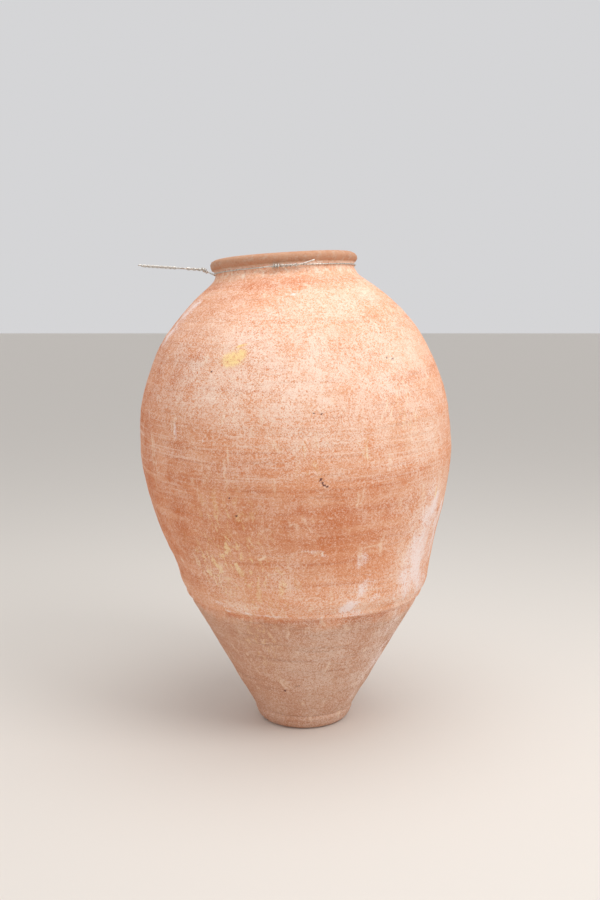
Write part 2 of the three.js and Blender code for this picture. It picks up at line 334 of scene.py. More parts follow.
# ================================================================ marks painted on the wall
# Each stroke: azimuth, height, half length, half width, tilt from level, strength.
HAZE_STROKES = [        # where the thin lime haze is thick
    (270, 0.800, 0.330, 0.150, 0, 0.85),
    (290, 0.900, 0.220, 0.080, 10, 0.70),
    (285, 0.680, 0.240, 0.070, 0, 0.70),
    (250, 0.740, 0.150, 0.030, -3, 0.35),
    (321, 0.850, 0.140, 0.120, 0, 0.60),
    (322, 0.680, 0.140, 0.120, 0, 0.60),
    (300, 0.600, 0.100, 0.012, -4, 0.60),
    (276, 0.598, 0.100, 0.010, 3, 0.55),
    (231, 0.372, 0.060, 0.040, 0, 0.45),
    (262, 0.380, 0.050, 0.040, 90, 0.55),
    (290, 0.330, 0.160, 0.050, 0, 0.55),
    (244, 0.315, 0.130, 0.012, 0, 0.60),
    (270, 1.012, 0.500, 0.022, 0, 0.75),
    (60, 0.640, 0.240, 0.140, 0, 0.70),
    (100, 0.840, 0.260, 0.090, 0, 0.70),
    (140, 0.500, 0.160, 0.060, 60, 0.60),
    (20, 0.500, 0.200, 0.070, 80, 0.60),
    (115, 0.345, 0.180, 0.030, 0, 0.60),
    (45, 0.920, 0.160, 0.050, 20, 0.60),
    (170, 0.760, 0.100, 0.080, 30, 0.40),
    (90, 0.180, 0.120, 0.040, 20, 0.40),
    (290, 0.200, 0.120, 0.160, 0, 0.50),
    (320, 0.180, 0.060, 0.160, 0, 0.85),
    (325, 0.420, 0.090, 0.180, 0, 0.90),
    (300, 0.780, 0.200, 0.160, 0, 0.80),
]
BLOOM_AND_HIGHLIGHT_STROKES = [       # thick lilac-white bloom, and pale lines of painted highlight along the ridge
    (326, 0.520, 0.050, 0.020, 88, 0.70),
    (328, 0.470, 0.060, 0.046, 85, 0.95),
    (326, 0.410, 0.060, 0.060, 85, 1.00),
    (325, 0.355, 0.045, 0.060, 80, 0.85),
    (316, 0.445, 0.060, 0.016, 85, 0.50),
    (338, 0.430, 0.100, 0.040, 85, 0.80),
    (336, 0.340, 0.050, 0.040, 80, 0.60),
    (312, 0.330, 0.060, 0.016, 20, 0.45),
    (321, 0.240, 0.060, 0.026, 75, 0.50),
    (336, 0.200, 0.100, 0.040, 76, 0.62),
    (327, 0.150, 0.070, 0.024, 78, 0.55),
    (325, 0.075, 0.030, 0.022, 60, 0.45),
    (203, 0.915, 0.046, 0.024, 68, 1.00),
    (200, 0.882, 0.030, 0.018, 60, 0.85),
    (226, 0.690, 0.030, 0.0045, 96, 0.70),
    (224, 0.650, 0.028, 0.0030, 96, 0.45),
    (239, 0.670, 0.004, 0.0028, 0, 1.00),
    (293.6, 0.408, 0.026, 0.013, 70, 0.62),
    (296, 0.357, 0.026, 0.014, 50, 0.72),
    (300, 0.330, 0.020, 0.012, 20, 0.62),
    (289, 0.318, 0.024, 0.012, 25, 0.95),
    (292, 0.307, 0.020, 0.008, 0, 0.62),
    (280, 0.428, 0.034, 0.005, -16, 0.60),
    (275, 0.440, 0.030, 0.004, -8, 0.55),
    (274.8, 0.940, 0.006, 0.003, 0, 0.90),
    # pale lines along the ridge's edge and the rings just above it: painted highlight
    (251, 0.2995, 0.110, 0.0024, 0, 0.85),
    (240, 0.305, 0.070, 0.0022, -6, 0.75),
    (236, 0.313, 0.070, 0.0020, -4, 0.65),
    (290, 0.299, 0.110, 0.0022, 0, 0.60),
    (302, 0.250, 0.070, 0.016, 30, 0.30),
    (165, 0.700, 0.060, 0.010, 95, 0.70),
    (80, 0.420, 0.080, 0.030, 85, 0.75),
    (20, 0.400, 0.080, 0.040, 80, 0.85),
    (115, 0.330, 0.060, 0.018, 0, 0.70),
    (140, 0.880, 0.030, 0.020, 40, 0.70),
    (60, 0.200, 0.080, 0.020, 70, 0.50),
]
OCHRE_STROKES = [
    (249.0, 0.822, 0.026, 0.015, 8, 1.00),     # the dab of yellow paint
    (252.2, 0.829, 0.012, 0.012, 0, 0.95),
    (251.6, 0.846, 0.012, 0.0024, 12, 1.00),
    (330.6, 0.517, 0.015, 0.0022, 92, 0.90),
    (261.4, 0.368, 0.030, 0.010, 76, 0.34),
    (262.5, 0.400, 0.016, 0.012, 0, 0.24),
    (276, 0.436, 0.020, 0.007, 0, 0.28),
    (242, 0.480, 0.050, 0.024, 30, 0.24),
    (250, 0.520, 0.040, 0.020, 0, 0.24),
    (252, 0.150, 0.050, 0.020, 60, 0.20),
    (150, 0.640, 0.030, 0.016, 20, 0.60),
]
DRIP_STROKES = [        # where dried yellowish drips and scratches run down the wall
    (243, 0.440, 0.110, 0.070, 88, 1.00),
    (250, 0.400, 0.080, 0.040, 88, 0.85),
    (232, 0.400, 0.070, 0.050, 88, 0.90),
    (262, 0.370, 0.060, 0.030, 88, 0.60),
    (246, 0.250, 0.080, 0.040, 88, 0.50),
    (294, 0.640, 0.050, 0.014, 90, 0.60),
    (275, 0.640, 0.050, 0.020, 90, 0.50),
    (313, 0.720, 0.080, 0.040, 88, 0.55),
    (80, 0.480, 0.120, 0.080, 88, 0.90),
    (150, 0.420, 0.100, 0.060, 88, 0.80),
    (10, 0.600, 0.100, 0.050, 88, 0.70),
]
DARK_STROKES = [
    (277.7, 0.586, 0.0034, 0.0026, 50, 1.0),   # the group of purple specks
    (278.3, 0.580, 0.0026, 0.0022, 0, 0.8),
    (278.8, 0.575, 0.0034, 0.0026, -30, 1.0),
    (279.7, 0.571, 0.0022, 0.0020, 0, 0.7),
    (308.8, 0.804, 0.0026, 0.0022, 0, 0.6),
    (311.5, 0.800, 0.0034, 0.0024, 20, 0.7),
    (277.0, 0.713, 0.0022, 0.0020, 0, 0.6),
    (279.5, 0.709, 0.0022, 0.0020, 0, 0.6),
    (240.5, 0.800, 0.0030, 0.0024, 0, 0.7),
    (251.7, 0.756, 0.0022, 0.0020, 0, 0.6),
    (246.8, 0.558, 0.0028, 0.0024, 0, 0.7),
    (248.2, 0.522, 0.0024, 0.0020, 0, 0.6),
    (254.6, 0.107, 0.0034, 0.0024, 20, 0.8),
    (265.0, 0.120, 0.0100, 0.0030, 10, 0.45),
    (95.0, 0.600, 0.0030, 0.0026, 0, 0.8),
    (120.0, 0.780, 0.0026, 0.0024, 0, 0.8),
    (203.3, 1.014, 0.010, 0.006, 0, 0.55),     # the brown spot at the lip's left end
]
WARM_AND_SHADE_STROKES = [        # where the clay shows redder and browner: partly its own tone, partly painted shade
    # on the left side, away from the lamps: the clay's own redder tone with painted shade
    (200, 0.600, 0.360, 0.110, 90, 1.00),
    (222, 0.520, 0.240, 0.080, 80, 0.95),
    (225, 0.800, 0.140, 0.060, 70, 0.75),
    (250, 0.500, 0.220, 0.080, 0, 0.85),
    (275, 0.500, 0.200, 0.070, 0, 0.95),
    (300, 0.520, 0.120, 0.060, 0, 0.75),
    (240, 0.600, 0.140, 0.050, 0, 0.75),
    (232, 0.930, 0.090, 0.035, 20, 0.70),
    # in the groove under the lip: painted shade
    (262, 0.962, 0.160, 0.014, 0, 0.85),
    (290, 0.962, 0.160, 0.010, 0, 0.60),
    # just under the ridge's overhang: painted shade
    (262, 0.288, 0.300, 0.008, 0, 1.00),
    (300, 0.288, 0.220, 0.008, 0, 1.00),
    (270, 0.420, 0.180, 0.030, 0, 0.50),
    (100, 0.560, 0.240, 0.100, 0, 0.80),
    (20, 0.720, 0.200, 0.090, 40, 0.70),
    (160, 0.850, 0.160, 0.060, 0, 0.80),
]
SCRATCH_STROKES = [
    (247.7, 0.646, 0.036, 0.0016, 91, 0.7),
    (255.0, 0.432, 0.012, 0.0018, 25, 1.0),
    (253.6, 0.430, 0.006, 0.0016, -50, 0.9),
    (298.0, 0.438, 0.048, 0.0014, 4, 0.65),
    (272.0, 0.442, 0.050, 0.0014, -4, 0.55),
    (307.0, 0.888, 0.060, 0.0014, -52, 0.45),
    (311.0, 0.870, 0.060, 0.0014, -50, 0.50),
    (316.0, 0.850, 0.050, 0.0014, -46, 0.45),
    (303.3, 0.712, 0.020, 0.0018, 66, 0.9),
    (305.0, 0.700, 0.022, 0.0016, 70, 0.9),
    (300.5, 0.690, 0.016, 0.0014, 62, 0.7),
    (293.9, 0.628, 0.026, 0.0022, 92, 0.8),
    (315.0, 0.735, 0.028, 0.0014, 86, 0.6),
    (230.0, 0.400, 0.050, 0.0014, 74, 0.6),
    (234.0, 0.370, 0.050, 0.0014, 66, 0.6),
    (242.0, 0.470, 0.040, 0.0014, 85, 0.5),
    (70.0, 0.650, 0.070, 0.0015, 80, 0.8),
    (110.0, 0.450, 0.060, 0.0015, 30, 0.8),
    (30.0, 0.800, 0.050, 0.0015, -40, 0.7),
]


def painted(straight, strokes, rag=0.35):
    """How strongly the strokes cover each point, with ragged edges."""
    azimuth = azimuth_of(straight)
    radius = np.hypot(straight[:, 0], straight[:, 1])
    cover = np.zeros(len(straight))
    shake = rag * rough_noise(straight, 0.03, 81)
    for where, height, length, width, tilt, strength in strokes:
        across = np.radians((azimuth - where + 180) % 360 - 180) * radius
        up = straight[:, 2] - height
        cos, sin = math.cos(math.radians(tilt)), math.sin(math.radians(tilt))
        a = (across * cos + up * sin) / max(length, 0.003)
        b = (up * cos - across * sin) / max(width, 0.0024)
        cover = np.maximum(cover, strength * np.exp(-np.maximum(a * a + b * b + shake, 0)))
    return cover


# ================================================================ the clay skins
def ring_points(run):
    """Straight points of a run turned round the centre line, ring by ring."""
    angle = np.arange(AROUND) * 2 * math.pi / AROUND
    radius, height = run[:, :1], run[:, 1:]
    rings = np.stack([radius * np.cos(angle), radius * np.sin(angle), height + 0 * angle], -1)
    return rings.reshape(-1, 3)


def stood_off(run, normals, amount):
    """The same points moved off the outline by an amount each."""
    straight = ring_points(run)
    each = np.repeat(normals, AROUND, axis=0)
    outward = straight[:, :2] / np.hypot(straight[:, 0], straight[:, 1])[:, None]
    moved = straight + amount[:, None] * np.stack([each[:, 0], each[:, 0], each[:, 1]], 1) * \
        np.column_stack([outward, np.ones(len(straight))])
    moved[:, 2] = np.maximum(moved[:, 2], 0)
    return moved


def band_faces(rings, closed):
    """Quads between the rings; a closed skin also joins its last ring to its first."""
    low = np.arange(rings if closed else rings - 1)
    high = (low + 1) % rings
    here = np.arange(AROUND)
    there = (here + 1) % AROUND
    corners = [low[:, None] * AROUND + here, low[:, None] * AROUND + there,
               high[:, None] * AROUND + there, high[:, None] * AROUND + here]
    return np.stack(corners, -1).reshape(-1, 4)


def set_attribute(mesh, name, values):
    kind, key = ("FLOAT_VECTOR", "vector") if values.ndim == 2 else ("FLOAT", "value")
    mesh.attributes.new(name, kind, "POINT").data.foreach_set(key, values.astype(np.float32).ravel())


def new_object(name, points, faces, material):
    mesh = bpy.data.meshes.new(name)
    mesh.from_pydata(points.tolist(), [], faces)
    mesh.materials.append(material)
    mesh.polygons.foreach_set("use_smooth", [True] * len(mesh.polygons))
    made = bpy.data.objects.new(name, mesh)
    bpy.context.scene.collection.objects.link(made)
    return made


def paint(mesh, straight, inside):
    """The attributes that the clay's materials read."""
    set_attribute(mesh, "straight", straight)
    set_attribute(mesh, "ring", ring_height(straight))
    set_attribute(mesh, "inside", inside)
    outside = 1 - inside
    set_attribute(mesh, "haze", outside * painted(straight, HAZE_STROKES))
    set_attribute(mesh, "bloom_and_highlight", outside * painted(straight, BLOOM_AND_HIGHLIGHT_STROKES, 0.7))
    set_attribute(mesh, "drips", outside * painted(straight, DRIP_STROKES))
    set_attribute(mesh, "ochre", outside * painted(straight, OCHRE_STROKES))
    set_attribute(mesh, "dark", outside * painted(straight, DARK_STROKES, 0.15))
    set_attribute(mesh, "warm_and_shade", outside * painted(straight, WARM_AND_SHADE_STROKES))
    set_attribute(mesh, "scratch", outside * painted(straight, SCRATCH_STROKES, 0.1))


def outside_surface():
    """Each piece's outside: its straight points, where they stand, and normals shared over the joins."""
    fine = smooth_outsides()
    surface = {}
    for stretch in SMOOTH_STRETCHES:
        run = np.vstack([fine[stretch[0]][0]] + [fine[node][0][1:] for node in stretch[1:]])
        normals = np.vstack([fine[stretch[0]][1]] + [fine[node][1][1:] for node in stretch[1:]])
        straight = ring_points(run)
        points = lean(stood_off(run, normals, relief(straight)))
        facing = surface_normals(points)
        start = 0
        for node in stretch:
            end = start + len(fine[node][0]) * AROUND
            surface[node] = (straight[start:end], points[start:end], facing[start:end])
            start = end - AROUND
    return surface


def surface_normals(points):
    grid = points.reshape(-1, AROUND, 3)
    around = np.roll(grid, -1, 1) - np.roll(grid, 1, 1)
    facing = np.cross(around, np.gradient(grid, axis=0))
    facing /= np.linalg.norm(facing, axis=2)[..., None]
    return facing.reshape(-1, 3)


def clay_skin(node, outside, material):
    """One piece of the wall as a closed skin: its outside, its seats and its inside."""
    straight, points, facing = outside
    outer_rings = len(points) // AROUND
    inside = np.zeros(len(points))
    rest = OUTLINES[node][1]
    if len(rest):
        inner_run = curve_through(rest, INSIDE_STEP)
        inner = ring_points(inner_run)
        stood = stood_off(inner_run, outline_normals(inner_run), inside_relief(inner))
        points = np.vstack([points, lean(stood)])
        straight = np.vstack([straight, inner])
        facing = np.vstack([facing, np.zeros((len(inner), 3))])
        inside = np.concatenate([inside, np.ones(len(inner))])
    rings = len(points) // AROUND
    closed = node != "foot_disc"
    faces = band_faces(rings, closed).tolist()
    if not closed:
        faces.append(list(range(AROUND))[::-1])
        faces.append(list(range((rings - 1) * AROUND, rings * AROUND)))
    skin = new_object(node + "_skin", points, faces, material)
    paint(skin.data, straight, inside)
    sharpen_seats(skin.data, outer_rings, rings, closed)
    skin.data.normals_split_custom_set_from_vertices(facing.tolist())
    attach(skin, "jar")
    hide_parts(node)
    return skin


def sharpen_seats(mesh, outer_rings, rings, closed):
    """The seats and caps are flat, so that the outside keeps its own shading up to them."""
    smooth = np.ones(len(mesh.polygons), bool)
    if closed:
        smooth[(outer_rings - 1) * AROUND: outer_rings * AROUND] = False
        smooth[(rings - 1) * AROUND:] = False
    else:
        smooth[-2:] = False
    mesh.polygons.foreach_set("use_smooth", smooth)


# ================================================================ shader writing
def tone(red, green, blue):
    """A colour as it is seen, from 0 to 255, turned into the linear light that a shader takes."""
    return tuple((c / 255) ** 2.2 for c in (red, green, blue)) + (1,)


class Shader:
    def __init__(self, name):
        self.material = bpy.data.materials.new(name)
        self.material.use_nodes = True
        self.tree = self.material.node_tree
        self.tree.nodes.clear()

    def node(self, kind, inputs, **settings):
        made = self.tree.nodes.new(kind)
        for key, value in settings.items():
            setattr(made, key, value)
        for key, value in inputs.items():
            if isinstance(value, bpy.types.NodeSocket):
                self.tree.links.new(value, made.inputs[key])
            else:
                made.inputs[key].default_value = value
        return made

    def attribute(self, name):
        return self.node("ShaderNodeAttribute", {}, attribute_name=name)

    def amount(self, name):
        return self.attribute(name).outputs["Fac"]

    def math(self, operation, a, b=0.0):
        return self.node("ShaderNodeMath", {0: a, 1: b}, operation=operation).outputs[0]

    def stretch(self, vector, scales):
        return self.node("ShaderNodeVectorMath", {0: vector, 1: scales}, operation="MULTIPLY").outputs[0]

    def noise(self, vector, scale, detail=3.0, roughness=0.55, distortion=0.0):
        inputs = {"Vector": vector, "Scale": scale, "Detail": detail,
                  "Roughness": roughness, "Distortion": distortion}
        return self.node("ShaderNodeTexNoise", inputs).outputs[0]

    def add_vectors(self, a, b):
        return self.node("ShaderNodeVectorMath", {0: a, 1: b}, operation="ADD").outputs[0]

    def cells(self, vector, scale):
        return self.node("ShaderNodeTexVoronoi", {"Vector": vector, "Scale": scale}).outputs["Distance"]

    def between(self, value, low, high, start=0.0, end=1.0):
        inputs = {"Value": value, "From Min": low, "From Max": high, "To Min": start, "To Max": end}
        return self.node("ShaderNodeMapRange", inputs, interpolation_type="SMOOTHSTEP").outputs[0]

    def mix(self, amount, a, b):
        return self.node("ShaderNodeMix", {0: amount, 6: a, 7: b}, data_type="RGBA").outputs[2]

    def bump(self, height, distance):
        inputs = {"Height": height, "Distance": distance, "Strength": 1.0}
        return self.node("ShaderNodeBump", inputs).outputs[0]

    def finish(self, inputs):
        surface = self.node("ShaderNodeBsdfPrincipled", inputs)
        self.node("ShaderNodeOutputMaterial", {"Surface": surface.outputs[0]})
        return self.material


# ================================================================ fired clay
BODY_LOOK = {
    "clay": tone(232, 158, 116),
    "pale": tone(240, 182, 146),
    "deep": tone(206, 118, 72),
    "lime": tone(255, 230, 212),
    "shade": tone(172, 96, 62),
}
BASE_LOOK = {
    "clay": tone(202, 146, 116),
    "pale": tone(210, 162, 134),
    "deep": tone(184, 122, 92),
    "lime": tone(240, 216, 200),
    "shade": tone(132, 86, 66),
}
LIP_CLAY = tone(255, 198, 160)
LIP_PALE = tone(255, 234, 212)
# the bloom's colour, also used for the painted highlight along the ridge
BLOOM_AND_HIGHLIGHT = tone(252, 232, 226)
OCHRE = tone(255, 220, 146)
DARK_SPOT = tone(84, 46, 56)
SCRATCHED = tone(255, 230, 200)
DRIED = tone(246, 212, 160)
DUST = tone(170, 122, 94)
WIDEST_BEGINS = (0.55, 0.60)    # ring heights between which the pale lines fade in
WIDEST_ENDS = (0.76, 0.68)      # and out again


def looks_at(s, place, low):
    """The body's colours; on the low pieces they pass into the base's below the ridge."""
    if not low:
        return BODY_LOOK
    height = s.node("ShaderNodeSeparateXYZ", {"Vector": place}).outputs["Z"]
    wavering = s.math("ADD", height, s.between(s.noise(place, 12.0), 0.3, 0.7, -0.012, 0.012))
    lowness = s.between(wavering, RIDGE_HEIGHT + 0.002, RIDGE_HEIGHT - 0.035)
    return {key: s.mix(lowness, BODY_LOOK[key], BASE_LOOK[key]) for key in BODY_LOOK}


def round_the_jar(s, place):
    """Coordinates in which a height follows the throwing rings."""
    level = s.node("ShaderNodeCombineXYZ", {"X": 0.0, "Y": 0.0, "Z": s.amount("ring")}).outputs[0]
    return s.add_vectors(s.stretch(place, (1, 1, 0)), level)


def clouded(s, look, place, turned):
    """Clay tones clouded together, with streaks round the jar, palest where it is widest."""
    clouds = s.between(s.noise(place, 8.0, 5.0, 0.62, 0.6), 0.38, 0.66)
    colour = s.mix(clouds, look["clay"], look["pale"])
    uneven = s.between(s.noise(place, 18.0, 4.0, 0.62), 0.25, 0.65, 0.5, 1.0)
    # redder and browner clay, partly painted shade in the groove, under the ridge and on the left side
    redder_and_shaded = s.math("MULTIPLY", s.amount("warm_and_shade"), uneven)
    colour = s.mix(redder_and_shaded, colour, look["deep"])
    streaks = s.noise(s.stretch(turned, (2.6, 2.6, 70.0)), 1.0, 4.0, 0.62)
    colour = s.mix(s.between(streaks, 0.52, 0.70, 0.0, 0.48), colour, look["pale"])
    colour = s.mix(s.between(streaks, 0.47, 0.32, 0.0, 0.46), colour, look["deep"])
    lines = s.noise(s.stretch(turned, (7.0, 7.0, 240.0)), 1.0, 2.0, 0.5)
    ring = s.amount("ring")
    widest = s.math("MULTIPLY", s.between(ring, *WIDEST_BEGINS), s.between(ring, *WIDEST_ENDS))
    shown = s.math("ADD", 0.07, s.math("MULTIPLY", widest, 0.25))
    colour = s.mix(s.math("MULTIPLY", s.between(lines, 0.54, 0.68), shown), colour, look["lime"])
    return s.mix(s.between(lines, 0.45, 0.28, 0.0, 0.26), colour, look["shade"])


def worm_grain(s, place):
    """The fine worm-like grain of the weathered skin, around one half."""
    worms = s.noise(place, 235.0, 2.0, 0.6, 1.5)
    fine = s.noise(place, 430.0, 2.0, 0.6, 0.6)
    return s.math("ADD", s.math("MULTIPLY", worms, 0.6), s.math("MULTIPLY", fine, 0.4))


def hazed(s, look, place, grain, colour):
    """A thin lime haze lies on the grain's tops, and the clay's own colour shows between; the grain's
    hollows are painted darker, as painted shade.
    """
    haze = s.amount("haze")
    patches = s.noise(place, 22.0, 3.0, 0.55, 0.5)
    cover = s.math("ADD", s.math("MULTIPLY", haze, 0.085), s.between(patches, 0.32, 0.68, -0.025, 0.03))
    tops = s.between(s.math("ADD", grain, cover), 0.46, 0.63)
    strength = s.math("ADD", 0.46, s.math("MULTIPLY", haze, 0.44))
    colour = s.mix(s.math("MULTIPLY", tops, strength), colour, look["lime"])
    # painted shade: the grain's hollows are darkened
    shaded_hollows = s.between(s.math("ADD", grain, s.math("MULTIPLY", cover, 0.5)), 0.50, 0.38)
    return s.mix(s.math("MULTIPLY", shaded_hollows, 0.34), colour, look["deep"])


def bloomed_and_highlit(s, place, grain, colour):
    """Thick pale bloom and the painted highlight along the ridge, broken up by the grain and by wipes down
    the wall.
    """
    bloom_and_highlight = s.amount("bloom_and_highlight")
    wipes = s.noise(s.stretch(place, (70.0, 70.0, 12.0)), 1.0, 3.0, 0.6)
    broken = s.math("ADD", s.math("MULTIPLY", grain, 1.2), s.math("MULTIPLY", wipes, 0.6))
    thick = s.between(s.math("ADD", s.math("MULTIPLY", bloom_and_highlight, 0.50), broken), 1.02, 1.42)
    shown = s.math("MULTIPLY", thick, s.between(bloom_and_highlight, 0.02, 0.40, 0.0, 0.90))
    return s.mix(shown, colour, BLOOM_AND_HIGHLIGHT)


def dripped(s, place, colour):
    """Crooked yellowish drips and scratches running down, and short pale wipes everywhere."""
    wander = s.node("ShaderNodeTexNoise", {"Vector": place, "Scale": 26.0}).outputs["Color"]
    bent = s.add_vectors(place, s.stretch(wander, (0.03, 0.03, 0.0)))
    runs = s.noise(s.stretch(bent, (130.0, 130.0, 14.0)), 1.0, 2.0, 0.5)
    drips = s.math("MULTIPLY", s.between(runs, 0.54, 0.63), s.amount("drips"))
    colour = s.mix(s.math("MULTIPLY", drips, 0.85), colour, DRIED)
    wipes = s.noise(s.stretch(bent, (60.0, 60.0, 9.0)), 1.0, 2.0, 0.5)
    return s.mix(s.between(wipes, 0.60, 0.74, 0.0, 0.40), colour, SCRATCHED)


def speckled(s, look, place, colour):
    """Small dark specks here and there."""
    specks = s.between(s.cells(place, 130.0), 0.16, 0.08)
    rare = s.between(s.noise(place, 37.0, 2.0), 0.58, 0.64)
    return s.mix(s.math("MULTIPLY", s.math("MULTIPLY", specks, rare), 0.55), colour, look["shade"])


def marked(s, colour, place, grain):
    """Ochre, scratches and dark spots, as they lie on the wall."""
    broken = s.between(s.math("ADD", grain, s.math("MULTIPLY", s.amount("ochre"), 0.16)), 0.46, 0.66)
    ochre = s.math("MULTIPLY", s.between(s.amount("ochre"), 0.12, 0.60), broken)
    colour = s.mix(s.math("MULTIPLY", ochre, 0.80), colour, OCHRE)
    colour = s.mix(s.math("MULTIPLY", s.between(s.amount("scratch"), 0.25, 0.7), 0.6), colour, SCRATCHED)
    ragged = s.math("ADD", s.amount("dark"), s.between(s.noise(place, 300.0, 2.0), 0.3, 0.7, -0.22, 0.22))
    return s.mix(s.between(ragged, 0.24, 0.52, 0.0, 0.9), colour, DARK_SPOT)


def lip_coloured(s, place, colour):
    """The lip, mottled and scuffed pale; its clay is lighter, because it lies in more shade."""
    height = s.node("ShaderNodeSeparateXYZ", {"Vector": place}).outputs["Z"]
    on_lip = s.between(height, GROOVE_HIGH - 0.004, GROOVE_HIGH + 0.006)
    patchy = s.between(s.noise(place, 34.0, 4.0, 0.6), 0.35, 0.65, 0.35, 0.85)
    colour = s.mix(s.math("MULTIPLY", on_lip, patchy), colour, LIP_CLAY)
    mottles = s.between(s.noise(place, 130.0, 3.0, 0.65), 0.46, 0.32, 0.0, 0.42)
    colour = s.mix(s.math("MULTIPLY", on_lip, mottles), colour, BODY_LOOK["shade"])
    scuffs = s.between(s.noise(place, 90.0, 4.0, 0.65), 0.50, 0.64, 0.0, 0.75)
    return s.mix(s.math("MULTIPLY", on_lip, scuffs), colour, LIP_PALE)


def clay_bump(s, place, turned, grain):
    """Sandy grain, fine turning lines and small pits."""
    sand = s.noise(place, 620.0, 3.0, 0.7)
    lines = s.noise(s.stretch(turned, (5.0, 5.0, 300.0)), 1.0, 3.0, 0.6)
    pits = s.between(s.cells(place, 150.0), 0.06, 0.16)
    height = s.math("ADD", s.math("MULTIPLY", sand, 0.3), s.math("MULTIPLY", lines, 0.55))
    height = s.math("ADD", height, s.math("MULTIPLY", grain, 0.9))
    height = s.math("ADD", height, s.math("MULTIPLY", pits, 0.3))
    height = s.math("SUBTRACT", height, s.math("MULTIPLY", s.amount("scratch"), 0.5))
    return s.bump(height, 0.0012)


def fired_clay(name, low):
    s = Shader(name)
    place = s.attribute("straight").outputs["Vector"]
    turned = round_the_jar(s, place)
    look = looks_at(s, place, low)
    grain = worm_grain(s, place)
    colour = clouded(s, look, place, turned)
    colour = lip_coloured(s, place, colour)
    colour = dripped(s, place, colour)
    colour = hazed(s, look, place, grain, colour)
    colour = bloomed_and_highlit(s, place, grain, colour)
    colour = speckled(s, look, place, colour)
    colour = marked(s, colour, place, grain)
    colour = s.mix(s.math("MULTIPLY", s.amount("inside"), 0.7), colour, DUST)
    roughness = s.between(s.noise(place, 60.0, 3.0), 0.3, 0.7, 0.84, 0.95)
    return s.finish({"Base Color": colour, "Roughness": roughness, "Specular IOR Level": 0.25,
                     "Normal": clay_bump(s, place, turned, grain)})


# ================================================================ galvanised wire
def weathered_wire(name):
    s = Shader(name)
    place = s.node("ShaderNodeTexCoord", {}).outputs["Object"]
    dull = s.between(s.noise(place, 320.0, 4.0, 0.65), 0.35, 0.68)
    colour = s.mix(dull, tone(236, 233, 226), tone(168, 162, 152))
    rust = s.between(s.noise(place, 110.0, 4.0, 0.7), 0.60, 0.74, 0.0, 0.55)
    colour = s.mix(rust, colour, tone(118, 82, 58))
    roughness = s.math("ADD", s.between(dull, 0.0, 1.0, 0.36, 0.60), s.math("MULTIPLY", rust, 0.3))
    drawn = s.noise(s.stretch(place, (900.0, 900.0, 900.0)), 1.0, 3.0, 0.6)
    metal = s.between(rust, 0.0, 0.75, 0.88, 0.25)
    return s.finish({"Base Color": colour, "Roughness": roughness, "Metallic": metal,
                     "Normal": s.bump(drawn, 0.0002)})


# ================================================================ the wire tie
WIRE_RADIUS = 0.0015
SPACING = 0.0037        # between two strands that lie together
TIE_RADIUS = 0.1535
TIE_HEIGHT = 0.999
STAND_OFF = 0.0036      # the splice lies this much further out
SPLICE_START, WRAPS_END, TWIST_END, TAIL_END = 262, 267.5, 281, 293
PIGTAIL_LENGTH = 0.166
PIGTAIL_BEND = 0.025
PIGTAIL_CLIMB = math.radians(31)
PIGTAIL_RISE = math.radians(7.5)
KNOT = (0.1, 0.172)     # shares of the pigtail's length
EYELET = (0.38, 0.5)
KNOT_FADE = 0.03
EYELET_OPENING = 0.0016
NIPPED_WIDTH = 0.55     # share of the wire's radius left at its cut ends
NIPPED_LENGTH = 0.0006
WAVINESS = 0.0001
CURVE_STEP = 0.0012
WIRE_SIDES = 12


def share(low, high, value):
    return np.clip((value - low) / (high - low), 0, 1)


def on_neck(degrees, outward, up):
    angle = np.radians(degrees)
    radius = TIE_RADIUS + outward
    height = TIE_HEIGHT + up + np.zeros_like(angle)
    return np.stack([radius * np.cos(angle), radius * np.sin(angle), height], -1)


def stand_off(degrees):
    arriving = smoothstep(SPLICE_START - 16, SPLICE_START - 3, degrees)
    return STAND_OFF * arriving * (1 - smoothstep(TWIST_END, TWIST_END + 16, degrees))


def in_splice(degrees, side):
    """Three wraps of the long wire round the short one, then two twists of both."""
    turns = 3 * share(SPLICE_START, WRAPS_END, degrees) + 2 * share(WRAPS_END, TWIST_END, degrees)
    leaving = smoothstep(WRAPS_END - 0.6, WRAPS_END + 1.6, degrees)
    reach = SPACING * (0.5 * leaving if side == 0 else 1 - 0.5 * leaving)
    angle = 2 * math.pi * turns + side * math.pi
    return on_neck(degrees, stand_off(degrees) + reach * np.cos(angle), reach * np.sin(angle))


def in_pigtail(along, side):
    """The two wires knotted, twisted, opened to an eyelet and twisted to the tip."""
    turns = 3 * share(*KNOT, along)
    turns = turns + 1.5 * share(KNOT[1], EYELET[0], along) + 4.5 * share(EYELET[1], 1, along)
    knot = smoothstep(KNOT[0] - KNOT_FADE, KNOT[0], along)
    knot = knot * (1 - smoothstep(KNOT[1], KNOT[1] + KNOT_FADE, along))
    middle = sum(EYELET) / 2
    eyelet = smoothstep(EYELET[0], middle, along) * (1 - smoothstep(middle, EYELET[1], along))
    reach = SPACING * (0.5 + (0.5 - side) * knot) + EYELET_OPENING * eyelet
    angle = 2 * math.pi * turns + (1 - side) * math.pi
    steep = np.minimum(along * PIGTAIL_LENGTH, PIGTAIL_BEND)
    gentle = along * PIGTAIL_LENGTH - steep
    radius = TIE_RADIUS + steep * math.cos(PIGTAIL_CLIMB) + gentle * math.cos(PIGTAIL_RISE)
    climb = steep * math.sin(PIGTAIL_CLIMB) + gentle * math.sin(PIGTAIL_RISE)
    return np.stack([-radius, reach * np.cos(angle), TIE_HEIGHT + climb + reach * np.sin(angle)], -1)


